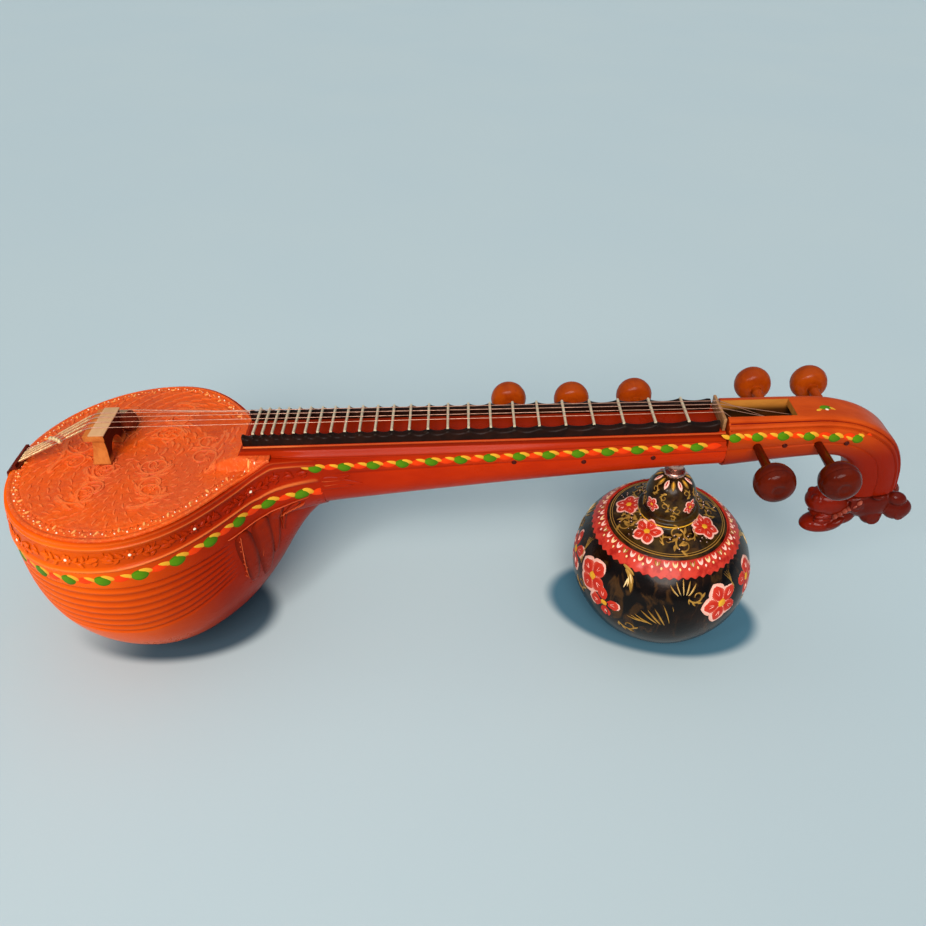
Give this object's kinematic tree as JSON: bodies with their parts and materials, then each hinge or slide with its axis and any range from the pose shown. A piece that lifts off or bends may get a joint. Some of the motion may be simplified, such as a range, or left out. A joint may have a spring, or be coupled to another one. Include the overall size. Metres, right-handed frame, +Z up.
{
  "type": "saraswati_veena",
  "caption": "South Indian veena in orange-red carved lacquer, with a fretted neck, round pegs, a beast-head scroll and a painted black gourd.",
  "frame": {"origin": "centre of the flat that the sound bowl stands on", "axes": "+X from the bowl towards the head, +Y towards the drone pegs, +Z up, as it rests on its bowl and its gourd"},
  "size_m": [1.3328, 0.3864, 0.4207],
  "materials": {
    "lacquer_orange": "glossy orange lacquer over carved jackwood",
    "board_lacquer": "glossy salmon-orange lacquer over low relief",
    "lacquer_red": "glossy red-orange lacquer",
    "wax": "black beeswax and resin, satin",
    "fret_brass": "pale worn bell-metal",
    "bone": "satin bone colour",
    "bridge_wood": "satin",
    "cap_brass": "satin",
    "dark_wood": "satin",
    "dark_metal": "dull",
    "string_steel": "bright",
    "bead_brass": "bright",
    "peg_orange": "glossy orange-brown",
    "peg_red": "glossy dark red-brown",
    "gourd_black": "glossy black lacquer, painted",
    "stalk_metal": "bright, slightly pink"
  },
  "bodies": {
    "instrument": {"kudam_bowl": "lacquer_orange", "top_plate": "board_lacquer", "neck_body": "lacquer_red", "neck_cover": "lacquer_red", "wax_rail_near": "wax", "wax_rail_far": "wax", "fret_01": "fret_brass", "fret_02": "fret_brass", "fret_03": "fret_brass", "fret_04": "fret_brass", "fret_05": "fret_brass", "fret_06": "fret_brass", "fret_07": "fret_brass", "fret_08": "fret_brass", "fret_09": "fret_brass", "fret_10": "fret_brass", "fret_11": "fret_brass", "fret_12": "fret_brass", "fret_13": "fret_brass", "fret_14": "fret_brass", "fret_15": "fret_brass", "fret_16": "fret_brass", "fret_17": "fret_brass", "fret_18": "fret_brass", "fret_19": "fret_brass", "fret_20": "fret_brass", "fret_21": "fret_brass", "fret_22": "fret_brass", "fret_23": "fret_brass", "fret_24": "fret_brass", "nut": "bone", "bridge_body": "bridge_wood", "bridge_plate": "cap_brass", "side_bridge": "dark_wood", "side_bridge_plate": "cap_brass", "tailpiece": "dark_metal", "pegbox_head": "lacquer_red", "yali_head": "lacquer_red", "gourd_socket": "stalk_metal", "main_string_1": "string_steel", "main_string_2": "string_steel", "main_string_3": "string_steel", "main_string_4": "string_steel", "drone_string_1": "string_steel", "drone_string_2": "string_steel", "drone_string_3": "string_steel"},
    "main_peg_1": {"main_peg_1": "peg_red"},
    "main_peg_2": {"main_peg_2": "peg_orange"},
    "main_peg_3": {"main_peg_3": "peg_red"},
    "main_peg_4": {"main_peg_4": "peg_orange"},
    "drone_peg_1": {"drone_peg_1": "peg_orange"},
    "drone_peg_2": {"drone_peg_2": "peg_orange"},
    "drone_peg_3": {"drone_peg_3": "peg_orange"},
    "tuning_bead_1": {"tuning_bead_1": "bead_brass"},
    "tuning_bead_2": {"tuning_bead_2": "bead_brass"},
    "tuning_bead_3": {"tuning_bead_3": "bead_brass"},
    "tuning_bead_4": {"tuning_bead_4": "bead_brass"},
    "gourd": {"gourd_shell": "gourd_black", "gourd_cap": "gourd_black", "gourd_stalk": "stalk_metal"}
  },
  "joints": [
    {"name": "main_peg_1_turn", "type": "hinge", "parent": "instrument", "child": "main_peg_1", "pos_m": [0.85128, 0, 0.37928], "axis": [0, -1, 0], "range_deg": [-1440, 180]},
    {"name": "main_peg_2_turn", "type": "hinge", "parent": "instrument", "child": "main_peg_2", "pos_m": [0.8892, 0, 0.38173], "axis": [0, 1, 0], "range_deg": [-1440, 180]},
    {"name": "main_peg_3_turn", "type": "hinge", "parent": "instrument", "child": "main_peg_3", "pos_m": [0.9351, 0, 0.3847], "axis": [0, -1, 0], "range_deg": [-1440, 180]},
    {"name": "main_peg_4_turn", "type": "hinge", "parent": "instrument", "child": "main_peg_4", "pos_m": [0.97402, 0, 0.38722], "axis": [0, 1, 0], "range_deg": [-1440, 180]},
    {"name": "drone_peg_1_turn", "type": "hinge", "parent": "instrument", "child": "drone_peg_1", "pos_m": [0.51891, 0, 0.34323], "axis": [0, 1, 0], "range_deg": [-1440, 180]},
    {"name": "drone_peg_2_turn", "type": "hinge", "parent": "instrument", "child": "drone_peg_2", "pos_m": [0.61591, 0, 0.34651], "axis": [0, 1, 0], "range_deg": [-1440, 180]},
    {"name": "drone_peg_3_turn", "type": "hinge", "parent": "instrument", "child": "drone_peg_3", "pos_m": [0.71148, 0, 0.3562], "axis": [0, 1, 0], "range_deg": [-1440, 180]},
    {"name": "tuning_bead_1_slide", "type": "slide", "parent": "instrument", "child": "tuning_bead_1", "axis": [0.8729, -0.0117, 0.4877], "range_m": [-0.008, 0.008]},
    {"name": "tuning_bead_2_slide", "type": "slide", "parent": "instrument", "child": "tuning_bead_2", "axis": [0.8722, 0.0428, 0.4873], "range_m": [-0.008, 0.008]},
    {"name": "tuning_bead_3_slide", "type": "slide", "parent": "instrument", "child": "tuning_bead_3", "axis": [0.8695, 0.0892, 0.4858], "range_m": [-0.008, 0.008]},
    {"name": "tuning_bead_4_slide", "type": "slide", "parent": "instrument", "child": "tuning_bead_4", "axis": [0.8667, 0.1198, 0.4842], "range_m": [-0.008, 0.008]},
    {"name": "gourd_swivel", "type": "hinge", "parent": "instrument", "child": "gourd", "pos_m": [0.77419, 0, 0.11815], "axis": [-0.0646, 0, 0.9979], "range_deg": [-180, 180]}
  ]
}
